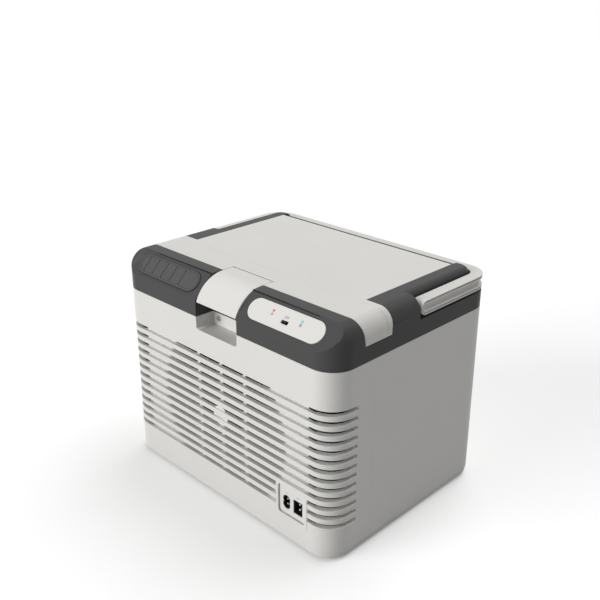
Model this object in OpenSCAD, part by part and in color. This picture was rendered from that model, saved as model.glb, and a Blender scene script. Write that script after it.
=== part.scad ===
// Thermoelectric cool and warm box with a hinged lid, a bail handle and a flap latch.
// Sizes are in millimetres. The origin is on the floor under the middle of the box,
// Z is up and the front with the air grille faces -Y.

/* [Overall size] */
// Width across the side walls
body_w = 386; // [380:1:400]
// Depth from the front wall to the back wall
body_d = 294; // [288:1:306]
// Height from the floor to the top of the lid
total_h = 300; // [298:1:330]
// Radius of the four upright corners
corner_r = 32; // [30:1:36]
// Radius of the rounding along the top edge
top_r = 20; // [17:1:22]
// Height of the dark top frame
band_h = 50; // [49:0.5:52]
// Height of the rubber feet
foot_h = 6; // [5:0.5:7]

/* [Walls and clearances] */
// Thickness of the plain moulded walls
wall = 3; // [2.6:0.1:3.2]
// Thickness of the front wall where the grooves are
grille_wall = 7.2; // [7:0.1:8.5]
// Gap round the lid and its straps
lid_gap = 0.5; // [0.4:0.1:0.6]
// Gap round pieces set into pockets
seat_gap = 0.3; // [0.2:0.05:0.4]
// Radial clearance of turning pins
run_gap = 0.05; // [0.03:0.01:0.09]

/* [Grille] */
// Number of groove rows
groove_rows = 13; // [10:1:13]
// Distance from one row to the next
groove_pitch = 12.43; // [12:0.01:12.43]
// Height of each groove
groove_h = 5.8; // [5:0.1:6.4]
// Depth of each groove
groove_depth = 5.5; // [4:0.1:6]
// Distance from the frame seam down to the first groove
groove_drop = 48.2; // [47:0.1:50]
// How far the grooves run back along the side walls
groove_run = 42.3; // [36:0.1:43]
// Radius of the round field of open slots
vent_r = 114; // [105:1:116]
// Width of the upright ribs in the open slots
rib_w = 5; // [4:0.5:6]
// Distance between the upright ribs
rib_pitch = 43.3; // [41:0.1:46]
// Radius of the smooth disc in the middle of the grille
hub_r = 13.4; // [12:0.1:16]

/* [Lid] */
// Width of each dark side rail beside the lid
rail_w = 40.7; // [40:0.1:42]
// Distance from the front wall back to the lid edge
lid_front = 45.7; // [45:0.1:47]
// Distance from the back wall forward to the lid edge
lid_back = 32.5; // [32:0.1:34]
// Thickness of the lid skin
lid_skin = 3; // [2.6:0.1:3.2]
// Distance from the front wall back to the seam between the two lid mouldings
lid_seam = 88; // [84:1:92]
// Distance from the front wall back to the rear edge of the straps
strap_back = 97; // [96:0.5:99]
// How far the straps come down the sides
strap_drop = 30; // [28:0.5:31]

/* [Latch] */
// Width of the latch flap
latch_w = 72.4; // [70:0.2:74.4]
// Outer radius of the curved latch flap
latch_r = 47; // [46.5:0.1:47.4]
// Thickness of the latch flap
latch_t = 3; // [2.6:0.1:3.4]
// Depth of the finger recess under the latch
recess_depth = 26.8; // [26:0.1:28]
// Height of the finger recess in the front wall
recess_h = 16.2; // [14:0.1:18]

/* [Handle] */
// Width of the handle bar
bar_w = 15.3; // [14:0.1:15.6]
// Height of the handle bar
bar_h = 18; // [17:0.5:18.5]
// Radius of the handle pivot pins
pin_r = 3; // [2.6:0.1:3.4]

/* [Control face] */
// Distance from the lid top down to the lower edge of the sloping face
facet_drop = 27.7; // [27:0.1:28.4]
// Length of the control plate and of the grip pad
pill_l = 118; // [110:1:119]
// Height of the control plate and of the grip pad
pill_h = 28; // [26:0.5:29]
// Travel of the mode switch to each side
switch_travel = 2.8; // [2:0.1:3]

/* [Inside] */
// Thickness of the liner wall
liner_t = 2; // [1.6:0.1:2.4]
// Side of the square fan frame
fan_side = 120; // [110:1:122]
// Thickness of the fan
fan_t = 18; // [17:0.5:18.5]

/* [Hidden] */
$fn = 64;
front_y = -body_d / 2;
rear_y = body_d / 2;
side_x = body_w / 2;
seam_z = total_h - band_h;
shell_z = foot_h + 4.5;
rim_low = foot_h - 3;
cover_y = front_y + groove_run + 26.7;
groove_z = seam_z - groove_drop;
vent_z = groove_z - groove_pitch * 6 - 2;
corner_slot_x = side_x - 41.5;
recess_z = seam_z - recess_h;
recess_y = front_y + recess_depth;
recess_w = latch_w + 2.8;
notch_w = latch_w + 1.4;
facet_z = total_h - facet_drop;
lid_w = body_w - 2 * rail_w;
lid_y0 = front_y + lid_front;
lid_y1 = rear_y - lid_back;
seam_y = front_y + lid_seam;
strap_y = front_y + strap_back;
strap_z = total_h - strap_drop;
strap_bed = lid_skin + lid_gap + wall + 4;
// lid hinge axis
hinge_y = lid_y1 - 6.5;
hinge_z = total_h - 12;
hinge_r = 2.5;
open_y1 = hinge_y + 14.5;
// handle and side rails
bar_top = total_h - 7;
bar_low = bar_top - bar_h;
pocket_z = bar_low - 3.3;
house_y = 0;
pivot_y = house_y + 1.5 + bar_h / 2;
pivot_z = bar_top - bar_h / 2;
rail_x = side_x - bar_w - 3.5;
rail_y = rear_y - bar_w - 1.4;
bush_r = pin_r + 2;
// latch hinge axis and curve
latch_top = total_h;
latch_bar_r = 7.3;
latch_y = front_y + 58.8;
latch_z = latch_top - latch_bar_r;
arc_y = front_y + 44;
arc_z = latch_top - latch_r;
lip_z = facet_z - 2.4;
nose_y = recess_y - 3.3;
nose_mid = latch_r - latch_t / 2;
nose_top0 = arc_z + sqrt(nose_mid * nose_mid - (arc_y - nose_y + 8) * (arc_y - nose_y + 8));
nose_top1 = arc_z + sqrt(nose_mid * nose_mid - (arc_y - nose_y + 1) * (arc_y - nose_y + 1));
latch_open = 50;
recess_screw_x = 26.2;
recess_screw_z = seam_z - 7.1;
latch_pin_r = 1.5;
// liner, its rim and the seal
rim_z = total_h - 42;
rim_t = 3;
tub_w = lid_w - 20.6;
tub_y0 = front_y + 77;
tub_y1 = hinge_y - 7;
tub_yc = (tub_y0 + tub_y1) / 2;
tub_d = tub_y1 - tub_y0;
tub_z = foot_h + 36;
tray_z = rim_z + 5;
tray_t = 2.5;
skirt_z = tray_z + tray_t;
plug_y0 = tub_y0 + 7;
plug_y1 = tub_y1 - 5;
plug_z = rim_z - 18;
// cold side stack, measured back from the front wall
foam_y = front_y + 53;
sink_y = front_y + 49;
fan_y = front_y + 11;
hole_r = 2.2;
cold_half = 0.685 * (vent_z - tub_z);
sink_half = 0.877 * cold_half;
clamp_x = 0.632 * cold_half;
block_half = 0.4386 * cold_half;
tec_half = 0.351 * cold_half;
hot_half_x = 1.0877 * cold_half;
hot_half_z = 0.9122 * cold_half;
// control plate on the sloping face
pill_s = 19.7;
pill_x = recess_w / 2 + 9.5 + pill_l / 2;
switch_s = 16.7;
led_dx = 22.6;
led_s = 25;
led_r = 1.7;
knob_w = 4.4;
knob_h = 3.4;
board_n = -9;
// sockets
socket_x = side_x - 65.2;
socket_z = foot_h + 52.1;
socket_w = 44.4;
socket_h = 40.6;
socket_r = 4;
socket_sink = 2.4;
socket_x0 = socket_x - socket_w / 2 - 3.9;
socket_x1 = socket_x + socket_w / 2 + 4.7;
ac_x = socket_x - 9.8;
ac_z = socket_z - 3.1;
ac_pitch = 7;
ac_r = 6.1;
dc_x = socket_x + 9.1;
dc_z = socket_z - 3.1;
dc_w = 14.8;
dc_h = 19.2;
dc_pin_x = dc_x;
dc_pin_z = 3.65;
board_z = foot_h + 14;
power_h = vent_z - fan_side / 2 - board_z;
foot_x = side_x - 42;
foot_y = rear_y - 42;

// the node to draw, or all of them

// helpers

module rrect(w, d, r) {
  square([w - 2 * r, d], center = true);
  square([w, d - 2 * r], center = true);
  for (sx = [-1, 1], sy = [-1, 1])
    translate([sx * (w / 2 - r), sy * (d / 2 - r)])
      circle(r);
}

module slab(w, d, r, z0, z1)
  translate([0, 0, z0])
    linear_extrude(z1 - z0)
      rrect(w, d, r);

module pill(l, h) {
  square([l - h, h], center = true);
  for (s = [-1, 1])
    translate([s * (l - h) / 2, 0])
      circle(h / 2);
}

// a section drawn in Y and Z, run along X
module along_x(l)
  rotate([90, 0, 90])
    linear_extrude(l, center = true)
      children();

// a section drawn in X and Z, run along Y
module along_y(l)
  rotate([90, 0, 0])
    linear_extrude(l, center = true)
      children();

// a section drawn in X and Z, from y0 back to y1
module in_xz(y0, y1)
  translate([0, y1, 0])
    rotate([90, 0, 0])
      linear_extrude(y1 - y0)
        children();

module rod_x(r, x0, x1)
  translate([x0, 0, 0])
    rotate([0, 90, 0])
      cylinder(r = r, h = x1 - x0);

module rod_y(r, y0, y1)
  translate([0, y1, 0])
    rotate([90, 0, 0])
      cylinder(r = r, h = y1 - y0);

module box(x0, x1, y0, y1, z0, z1)
  translate([x0, y0, z0])
    cube([x1 - x0, y1 - y0, z1 - z0]);

module dome_section(w, z0, h, r) {
  translate([-w / 2, z0])
    square([w, h - r - z0]);
  translate([-(w / 2 - r), z0])
    square([w - 2 * r, h - z0]);
  for (s = [-1, 1])
    intersection() {
      translate([s * (w / 2 - r), h - r])
        circle(r);
      translate([-w / 2, h - r])
        square([w, r]);
    }
}

// block with upright corners of radius rc and a top edge of radius rt
module domed_block(w, d, rc, rt, z0, h) {
  along_x(w - 2 * rc)
    dome_section(d, z0, h, rt);
  along_y(d - 2 * rc)
    dome_section(w, z0, h, rt);
  for (sx = [-1, 1], sy = [-1, 1])
    translate([sx * (w / 2 - rc), sy * (d / 2 - rc), 0])
      rotate_extrude() {
        translate([0, z0])
          square([rc, h - rt - z0]);
        translate([0, z0])
          square([rc - rt, h - z0]);
        intersection() {
          translate([rc - rt, h - rt])
            circle(rt);
          translate([rc - rt, h - rt])
            square(rt);
        }
      }
}

// the outside of the box, set in by n
module outside(n, z0)
  domed_block(body_w - 2 * n, body_d - 2 * n, corner_r - n, top_r - n, z0, total_h - n);

// x along the front, y up the slope, z out of the sloping face
module on_facet()
  translate([0, front_y, facet_z])
    rotate([45, 0, 0])
      children();

module facet_cut(n)
  on_facet()
    translate([-body_w, -90, -n])
      cube([2 * body_w, 200, 90]);

// the wedge that a strap fills, seen from the side
module strap_zone(g)
  along_x(body_w + 20)
    polygon([
      [lid_y0 - g, total_h + 1],
      [strap_y + g, total_h + 1],
      [strap_y - 1.5 + g, strap_z - g],
      [lid_y0 + 5.3 - g, strap_z - g]
    ]);

// the layer that the lid skin fills, with its gap
module strap_layer(n)
  difference() {
    outside(-1, seam_z);
    outside(n, seam_z - 1);
  }

// cabinet walls

module groove_bands(d0, d1)
  for (i = [0 : groove_rows - 1])
    translate([0, 0, groove_z - groove_h - i * groove_pitch])
      linear_extrude(groove_h)
        difference() {
          rrect(body_w - 2 * d0, body_d - 2 * d0, corner_r - d0);
          rrect(body_w - 2 * d1, body_d - 2 * d1, corner_r - d1);
        }

// how far back each groove runs, with a round end
module groove_reach()
  along_x(body_w + 10)
    for (i = [0 : groove_rows - 1])
      translate([front_y - 5, groove_z - groove_h / 2 - i * groove_pitch])
        rrect(2 * groove_run + 10, groove_h, 2.2);

module vent_slots()
  in_xz(front_y + groove_depth - 1, front_y + grille_wall + 1)
    difference() {
      intersection() {
        translate([0, vent_z])
          circle(vent_r);
        for (i = [0 : groove_rows - 1])
          translate([-vent_r - 2, groove_z - groove_h - i * groove_pitch])
            square([2 * vent_r + 4, groove_h]);
      }
      for (k = [-1 : 1])
        translate([k * rib_pitch - rib_w / 2, vent_z - vent_r])
          square([rib_w, 2 * vent_r]);
      translate([0, vent_z])
        circle(hub_r);
      translate([socket_x0, socket_z - socket_h / 2 - 2.5])
        square([socket_x1 - socket_x0, socket_h + 5]);
    }

module recess_shape()
  intersection() {
    translate([0, 0, recess_z - 20])
      linear_extrude(60)
        polygon([
          [-recess_w / 2, front_y - 1],
          [recess_w / 2, front_y - 1],
          [recess_w / 2 - 0.4, recess_y],
          [-recess_w / 2 + 0.4, recess_y]
        ]);
    in_xz(front_y - 2, recess_y + 2) {
      translate([-recess_w / 2, recess_z + 4])
        square([recess_w, 40]);
      translate([-recess_w / 2 + 4, recess_z])
        square([recess_w - 8, 40]);
      for (s = [-1, 1])
        translate([s * (recess_w / 2 - 4), recess_z + 4])
          circle(4);
    }
  }

module front_grille_cover()
  color("white")
    difference() {
      union() {
        difference() {
          slab(body_w, body_d, corner_r, shell_z, seam_z);
          slab(body_w - 2 * grille_wall, body_d - 2 * grille_wall, corner_r - grille_wall,
            shell_z - 1, seam_z + 1);
          slab(body_w - 2 * wall, body_d - 2 * wall, corner_r - wall, shell_z - 1, foot_h + 24);
          slab(body_w - 2 * wall, body_d - 2 * wall, corner_r - wall, groove_z + 6, seam_z + 1);
        }
        box(-recess_w / 2 - wall, recess_w / 2 + wall, front_y + 1, recess_y + wall,
          recess_z - wall, seam_z);
        translate([0, 0, vent_z])
          rod_y(hub_r, front_y + 2, front_y + grille_wall);
      }
      box(-body_w, body_w, cover_y, body_d, -1, total_h);
      recess_shape();
      difference() {
        intersection() {
          groove_bands(-1, groove_depth);
          groove_reach();
        }
        box(socket_x0, socket_x1, front_y - 5, front_y + grille_wall + 5,
          socket_z - socket_h / 2 - 2, socket_z + socket_h / 2 + 1);
        translate([0, 0, vent_z])
          rod_y(hub_r, front_y + 2, front_y + 20);
      }
      vent_slots();
      difference() {
        groove_bands(groove_depth - 0.5, grille_wall + 1);
        box(-corner_slot_x, corner_slot_x, -body_d, body_d, -1, total_h);
        box(-body_w, body_w, front_y + groove_run - 1.2, body_d, -1, total_h);
        box(socket_x0, socket_x1 + 0.8, front_y - 5, front_y + grille_wall + 5,
          socket_z - socket_h / 2 - 2, socket_z + socket_h / 2 + 1);
      }
      in_xz(front_y - 1, front_y + grille_wall + 1)
        translate([socket_x, socket_z])
          rrect(socket_w, socket_h, socket_r);
      for (s = [-1, 1])
        translate([s * recess_screw_x, 0, recess_screw_z]) {
          rod_y(1.8, recess_y - 1, recess_y + wall + 1);
          rod_y(4.1, recess_y - 1, recess_y + 1.2);
        }
      for (sx = [-1, 1], z = [groove_z - 9, vent_z - 45])
        translate([sx * (side_x - grille_wall / 2), 0, z])
          rod_y(1.5, cover_y - 7, cover_y + 1);
    }

module body_shell()
  color("white")
    difference() {
      slab(body_w, body_d, corner_r, shell_z, seam_z);
      box(-body_w, body_w, -body_d, cover_y, -1, total_h);
      difference() {
        slab(body_w - 2 * wall, body_d - 2 * wall, corner_r - wall, shell_z - 1, seam_z + 1);
        for (s = [-1, 1])
          box(s * (side_x - grille_wall / 2) - grille_wall / 2,
            s * (side_x - grille_wall / 2) + grille_wall / 2,
            cover_y, cover_y + 8, foot_h + 24, groove_z + 6);
      }
      for (sx = [-1, 1], z = [groove_z - 9, vent_z - 45])
        translate([sx * (side_x - grille_wall / 2), 0, z]) {
          rod_y(1.7, cover_y - 1, cover_y + 9);
          rod_y(3.1, cover_y + 5, cover_y + 9);
        }
    }

module cover_screws()
  color("silver")
    for (sx = [-1, 1], z = [groove_z - 9, vent_z - 45])
      translate([sx * (side_x - grille_wall / 2), 0, z]) {
        rod_y(1.45, cover_y - 6.5, cover_y + 6);
        rod_y(2.8, cover_y + 5, cover_y + 7.5);
      }

module base_pan()
  color("gainsboro")
    difference() {
      union() {
        difference() {
          mirror([0, 0, 1])
            domed_block(body_w - 2.8, body_d - 2.8, corner_r - 1.4, 2.5, -shell_z, -rim_low);
          slab(body_w - 12, body_d - 12, corner_r - 6, foot_h + 2.5, shell_z + 1);
          slab(body_w - 12, body_d - 12, corner_r - 6, 0, foot_h);
        }
        difference() {
          slab(body_w - 2 * wall - 0.6, body_d - 2 * wall - 0.6, corner_r - wall - 0.3,
            shell_z - 1, shell_z + 7);
          slab(body_w - 12, body_d - 12, corner_r - 6, shell_z - 2, shell_z + 8);
        }
        for (sx = [-1, 1], sy = [-1, 1])
          translate([sx * foot_x, sy * foot_y, foot_h + 2])
            cylinder(r = 5, h = 9);
        for (x = [-74, 54], y = [front_y + 15, front_y + 43])
          translate([x, y, foot_h + 2])
            cylinder(r = 3.5, h = board_z - foot_h - 2);
      }
      for (sx = [-1, 1], sy = [-1, 1])
        translate([sx * foot_x, sy * foot_y, foot_h - 1])
          cylinder(r = 2.1, h = 10);
      for (x = [-74, 54], y = [front_y + 15, front_y + 43])
        translate([x, y, board_z - 8])
          cylinder(r = 1.3, h = 9);
    }

module rubber_feet()
  color("dimgray")
    for (sx = [-1, 1], sy = [-1, 1])
      translate([sx * foot_x, sy * foot_y, 0])
        difference() {
          cylinder(r1 = 12, r2 = 13, h = foot_h);
          translate([0, 0, -1])
            cylinder(r = 2.3, h = foot_h + 2);
          translate([0, 0, -1])
            cylinder(r = 4.6, h = foot_h / 2 + 1);
        }

module base_screws()
  color("silver")
    for (sx = [-1, 1], sy = [-1, 1])
      translate([sx * foot_x, sy * foot_y, foot_h / 2 - 1]) {
        cylinder(r = 4.2, h = 1);
        cylinder(r = 2, h = 9.5);
      }

// top frame

module frame_form(n) {
  z0 = n > 0 ? seam_z - 1 : seam_z;
  difference() {
    intersection() {
      outside(n, z0);
      box(-body_w, body_w, -body_d, house_y - n, z0, total_h + 1);
    }
    facet_cut(n);
  }
  slab(body_w - 2 * n, body_d - 2 * n, corner_r - n, z0, pocket_z - n);
  intersection() {
    domed_block(2 * (rail_x - n), 2 * (rail_y - n), 14 - n, 8 - n, z0, total_h - n);
    box(-body_w, body_w, house_y - 12, body_d, z0, total_h + 1);
  }
}

module lid_shaft(g)
  box(-lid_w / 2 - lid_gap - g, lid_w / 2 + lid_gap + g, lid_y0 - lid_gap - g, open_y1 + g,
    seam_z - 2, total_h + 2);

module latch_bay(g) {
  box(-recess_w / 2 - g, recess_w / 2 + g, front_y - 2, recess_y + g, seam_z - 2, total_h + 2);
  box(-recess_w / 2 - g, recess_w / 2 + g, recess_y, lid_y0 + g, total_h - 16 - g, total_h + 2);
}

module frame_bosses() {
  for (s = [-1, 1]) {
    translate([0, pivot_y, pivot_z])
      rod_x(bush_r + 3, s * (rail_x - 9) - 9, s * (rail_x - 9) + 9);
    translate([0, hinge_y, hinge_z])
      rod_x(hinge_r + 4, s * (lid_w / 2 + 8) - 9, s * (lid_w / 2 + 8) + 9);
  }
}

module top_frame()
  color("dimgray")
    difference() {
      union() {
        difference() {
          frame_form(0);
          difference() {
            frame_form(wall);
            lid_shaft(wall);
            latch_bay(wall);
            difference() {
              strap_zone(lid_gap + wall);
              box(-side_x + strap_bed, side_x - strap_bed, -body_d, body_d, 0, total_h - strap_bed);
            }
            frame_bosses();
          }
        }
        box(-34, 34, recess_y + wall + 0.2, recess_y + wall + 7, seam_z - 12, seam_z + 12);
        box(-34, 34, recess_y + 1, recess_y + wall + 7, seam_z, seam_z + 12);
      }
      lid_shaft(0);
      latch_bay(0);
      box(-lid_w / 2 - lid_gap, lid_w / 2 + lid_gap, hinge_y, body_d, total_h - 3, total_h + 1);
      box(-lid_w / 2 - lid_gap, lid_w / 2 + lid_gap, open_y1 + wall, body_d, hinge_z, total_h + 1);
      box(-lid_w / 2 - 8, lid_w / 2 + 8, lid_y0 - 4, open_y1 + 4, seam_z - 1, rim_z);
      intersection() {
        strap_zone(lid_gap);
        strap_layer(lid_skin + lid_gap);
      }
      for (s = [-1, 1]) {
        translate([0, pivot_y, pivot_z])
          rod_x(bush_r + 0.02, s * (rail_x - 7) - 8.5, s * (rail_x - 7) + 8.5);
        translate([0, hinge_y, hinge_z])
          rod_x(hinge_r + 0.02, s * (lid_w / 2 + 7) - 7, s * (lid_w / 2 + 7) + 7);
        translate([s * recess_screw_x, 0, recess_screw_z])
          rod_y(1.5, recess_y + 2, recess_y + wall + 6);
        translate([s * 9, 0, rim_z + 5])
          rod_y(1.3, recess_y - 1, recess_y + 6);
      }
      on_facet() {
        for (s = [-1, 1])
          translate([s * pill_x, pill_s, -1.6])
            linear_extrude(4)
              pill(pill_l + 2 * seat_gap, pill_h + 2 * seat_gap);
        translate([pill_x + 1, switch_s, -5])
          cube([17.4, 9, 12], center = true);
        for (s = [-1, 1])
          translate([pill_x + 1 + s * led_dx, led_s, -10])
            cylinder(r = led_r + 0.6, h = 12);
        translate([-side_x + 46, sqrt(2) * facet_drop - 1.4, -1.4])
          cube([body_w - 92, 1, 20]);
      }
    }

// control face

module control_panel()
  color("white")
    on_facet()
      difference() {
        translate([pill_x, pill_s, -1.6])
          linear_extrude(2.2)
            pill(pill_l, pill_h);
        translate([pill_x + 1, switch_s, 0])
          cube([2 * switch_travel + knob_w + 0.6, knob_h + 1, 6], center = true);
        for (s = [-1, 1])
          translate([pill_x + 1 + s * led_dx, led_s, -5])
            cylinder(r = led_r + 0.1, h = 12);
      }

module indicator(s)
  on_facet()
    translate([pill_x + 1 + s * led_dx, led_s, board_n + 1.6])
      cylinder(r = led_r, h = -board_n - 0.8);

module hot_indicator()
  color("orangered")
    indicator(-1);

module cold_indicator()
  color("cyan")
    indicator(1);

module control_board()
  color("seagreen")
    on_facet()
      translate([pill_x - 44, 8, board_n])
        cube([90, 23, 1.6]);

module switch_housing()
  color("black")
    on_facet()
      difference() {
        translate([pill_x - 7.2, switch_s - 4, board_n + 1.6])
          cube([16.4, 8, 5.6]);
        translate([pill_x + 1, switch_s, -3])
          cube([2 * switch_travel + knob_w + 1, knob_h + 0.6, 5], center = true);
      }

module mode_slider()
  color("black")
    on_facet()
      translate([pill_x + 1 - knob_w / 2, switch_s - knob_h / 2, -5.2])
        cube([knob_w, knob_h, 6.4]);

module grip_pad()
  color("dimgray")
    on_facet()
      difference() {
        translate([-pill_x, pill_s, -1.6])
          linear_extrude(3)
            pill(pill_l, pill_h);
        for (i = [-2.5 : 1.5], j = [-2.5 : 2.5])
          translate([-pill_x + i * 18.2, pill_s + j * 3.7, 0])
            cylinder(r = 0.8, h = 3, $fn = 24);
      }

// latch keeper and screws in the bay

module latch_keeper()
  color("gray")
    difference() {
      union() {
        box(-14, 14, recess_y - 1.5, recess_y, rim_z + 1, rim_z + 22);
        translate([0, recess_y - 1.5, rim_z + 13])
          rod_x(1.5, -12, 12);
      }
      for (s = [-1, 1])
        translate([s * 9, 0, rim_z + 5])
          rod_y(1.5, recess_y - 4, recess_y + 1);
    }

module keeper_screws()
  color("silver")
    for (s = [-1, 1])
      translate([s * 9, 0, rim_z + 5]) {
        rod_y(1.25, recess_y - 2, recess_y + 5);
        rod_y(2.6, recess_y - 2.7, recess_y - 1.5);
      }

module recess_screws()
  color("silver")
    for (s = [-1, 1])
      translate([s * recess_screw_x, 0, recess_screw_z])
        difference() {
          union() {
            rod_y(1.45, recess_y, recess_y + wall + 5);
            rod_y(3.8, recess_y - 0.6, recess_y + 1.2);
          }
          box(-2.2, 2.2, recess_y - 2, recess_y + 0.3, -0.45, 0.45);
          box(-0.45, 0.45, recess_y - 2, recess_y + 0.3, -2.2, 2.2);
        }

// sockets

module figure_eight(r) {
  for (s = [-1, 1])
    translate([0, s * ac_pitch / 2])
      circle(r);
  square([1.5 * r, ac_pitch], center = true);
}

module socket_panel()
  color("white")
    difference() {
      union() {
        in_xz(front_y + socket_sink, front_y + grille_wall)
          translate([socket_x + seat_gap, socket_z + seat_gap])
            rrect(socket_w - 4 * seat_gap, socket_h - 4 * seat_gap, socket_r - seat_gap);
        box(socket_x - socket_w / 2 - 3, socket_x + socket_w / 2 + 3,
          front_y + grille_wall, front_y + grille_wall + 2.5,
          socket_z - socket_h / 2 - 3, socket_z + socket_h / 2 + 3);
      }
      box(socket_x - socket_w / 2 + 2, socket_x + socket_w / 2 - 2,
        front_y + 5, front_y + grille_wall + 5,
        socket_z - socket_h / 2 + 3, socket_z + socket_h / 2 - 3);
      in_xz(front_y - 1, front_y + 6) {
        translate([ac_x, ac_z])
          figure_eight(ac_r);
        translate([dc_x - dc_w / 2, dc_z - dc_h / 2])
          square([dc_w, dc_h]);
      }
    }

module ac_inlet()
  color("black")
    difference() {
      union() {
        in_xz(front_y + socket_sink + 0.4, front_y + 20)
          translate([ac_x, ac_z])
            figure_eight(ac_r - 0.2);
        box(ac_x - 8, ac_x + 8, front_y + 5, front_y + 7, ac_z - 11.5, ac_z + 11.5);
      }
      in_xz(front_y - 1, front_y + 14)
        translate([ac_x, ac_z])
          figure_eight(ac_r - 1.2);
      for (s = [-1, 1])
        translate([ac_x, 0, ac_z + s * ac_pitch / 2])
          rod_y(1.2, front_y + 10, front_y + 22);
    }

module ac_pins()
  color("silver")
    for (s = [-1, 1])
      translate([ac_x, 0, ac_z + s * ac_pitch / 2])
        rod_y(1.18, front_y + 4.5, front_y + 24);

module dc_inlet()
  color("black")
    difference() {
      union() {
        box(dc_x - dc_w / 2 + 0.2, dc_x + dc_w / 2 - 0.2, front_y + socket_sink + 0.4, front_y + 18,
          dc_z - dc_h / 2 + 0.2, dc_z + dc_h / 2 - 0.2);
        box(dc_x - dc_w / 2 - 1.2, dc_x + dc_w / 2 + 1.2, front_y + 5, front_y + 7,
          dc_z - dc_h / 2 - 2, dc_z + dc_h / 2 + 2);
      }
      box(dc_x - dc_w / 2 + 1.2, dc_x + dc_w / 2 - 1.2, front_y - 1, front_y + 13,
        dc_z - dc_h / 2 + 1.2, dc_z + dc_h / 2 - 1.2);
      for (s = [-1, 1])
        translate([dc_pin_x, 0, dc_z + s * dc_pin_z])
          rod_y(1.12, front_y + 10, front_y + 20);
    }

module dc_pins()
  color("silver")
    for (s = [-1, 1])
      translate([dc_pin_x, 0, dc_z + s * dc_pin_z])
        rod_y(1.1, front_y + 5.9, front_y + 22);

// cold and hot sides

module inner_liner()
  color("lightgray")
    difference() {
      union() {
        translate([0, tub_yc, 0])
          slab(tub_w + 2 * liner_t, tub_d + 2 * liner_t, 20 + liner_t, tub_z - liner_t, rim_z);
        translate([0, (lid_y0 - 3 + open_y1 + 3) / 2, 0])
          slab(lid_w + 14, open_y1 - lid_y0 + 6, 12, rim_z - rim_t, rim_z);
      }
      translate([0, tub_yc, 0])
        slab(tub_w, tub_d, 20, tub_z, rim_z + 1);
      box(-block_half - 0.5, block_half + 0.5, tub_y0 - 4, tub_y0 + 1,
        vent_z - block_half - 0.5, vent_z + block_half + 0.5);
      for (sx = [-1, 1], sz = [-1, 1])
        translate([sx * clamp_x, 0, vent_z + sz * clamp_x])
          rod_y(hole_r, tub_y0 - 4, tub_y0 + 1);
    }

module foam_jacket()
  color("khaki")
    difference() {
      union() {
        translate([0, (foam_y + rear_y - wall - 0.5) / 2, 0])
          slab(body_w - 2 * wall - 1, rear_y - wall - 0.5 - foam_y, corner_r - wall - 0.5,
            shell_z + 7.5, seam_z - 0.5);
        translate([0, (foam_y + open_y1 + 2) / 2, 0])
          slab(lid_w + 12, open_y1 + 2 - foam_y, 12, seam_z - 1, rim_z - rim_t);
      }
      translate([0, tub_yc, 0])
        slab(tub_w + 2 * liner_t + 0.6, tub_d + 2 * liner_t + 0.6, 20 + liner_t + 0.3,
          tub_z - liner_t - 0.3, rim_z + 1);
      box(-block_half - 0.5, block_half + 0.5, foam_y - 1, tub_y0 + 1,
        vent_z - block_half - 0.5, vent_z + block_half + 0.5);
      for (sx = [-1, 1], sz = [-1, 1])
        translate([sx * clamp_x, 0, vent_z + sz * clamp_x])
          rod_y(hole_r, foam_y - 1, tub_y0 + 1);
      for (s = [-1, 1])
        box(s * side_x - grille_wall - 0.5, s * side_x + grille_wall + 0.5, foam_y - 1, cover_y + 8.5,
          foot_h + 23.5, groove_z + 6.5);
    }

module cold_block()
  color("silver")
    box(-block_half, block_half, foam_y, tub_y0, vent_z - block_half, vent_z + block_half);

module divider_panel()
  color("darkslategray")
    difference() {
      box(-side_x + grille_wall + 1, side_x - grille_wall - 1, foam_y - 2.3, foam_y - 0.3,
        shell_z + 8, seam_z - 0.5);
      box(-tec_half - 0.5, tec_half + 0.5, foam_y - 4, foam_y,
        vent_z - tec_half - 0.5, vent_z + tec_half + 0.5);
      for (sx = [-1, 1], sz = [-1, 1])
        translate([sx * clamp_x, 0, vent_z + sz * clamp_x])
          rod_y(hole_r, foam_y - 4, foam_y);
    }

module peltier_module()
  color("white")
    box(-tec_half, tec_half, sink_y, foam_y, vent_z - tec_half, vent_z + tec_half);

module cold_sink()
  color("silver")
    difference() {
      union() {
        box(-sink_half, sink_half, tub_y0, tub_y0 + 4, vent_z - sink_half, vent_z + sink_half);
        for (i = [0 : 12])
          translate([(i - 6) * (sink_half - 2) / 6, 0, vent_z])
            box(-1, 1, tub_y0 + 3, tub_y0 + 13, -sink_half, sink_half);
      }
      for (sx = [-1, 1], sz = [-1, 1])
        translate([sx * clamp_x, 0, vent_z + sz * clamp_x])
          rod_y(2, tub_y0 - 1, tub_y0 + 3);
    }

module cold_cover()
  color("lightgray")
    difference() {
      box(-cold_half, cold_half, tub_y0, tub_y0 + 16, vent_z - cold_half, vent_z + cold_half);
      box(-cold_half + 2.5, cold_half - 2.5, tub_y0 - 1, tub_y0 + 13.5,
        vent_z - cold_half + 2.5, vent_z + cold_half - 2.5);
      for (i = [-4 : 4])
        translate([0, 0, vent_z + i * 0.1825 * cold_half])
          box(-0.8 * cold_half, 0.8 * cold_half, tub_y0 + 12, tub_y0 + 17,
            -0.044 * cold_half, 0.044 * cold_half);
    }

module heat_sink()
  color("silver")
    difference() {
      union() {
        box(-hot_half_x, hot_half_x, sink_y - 5, sink_y, vent_z - hot_half_z, vent_z + hot_half_z);
        for (i = [0 : 15])
          translate([(i - 7.5) * (hot_half_x - 2) / 7.5, 0, vent_z])
            box(-1, 1, fan_y + fan_t + 0.4, sink_y - 4, -hot_half_z, hot_half_z);
      }
      for (sx = [-1, 1], sz = [-1, 1])
        translate([sx * clamp_x, 0, vent_z + sz * clamp_x]) {
          rod_y(hole_r, sink_y - 6, sink_y + 1);
          rod_y(4.2, fan_y, sink_y - 5);
        }
    }

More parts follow.
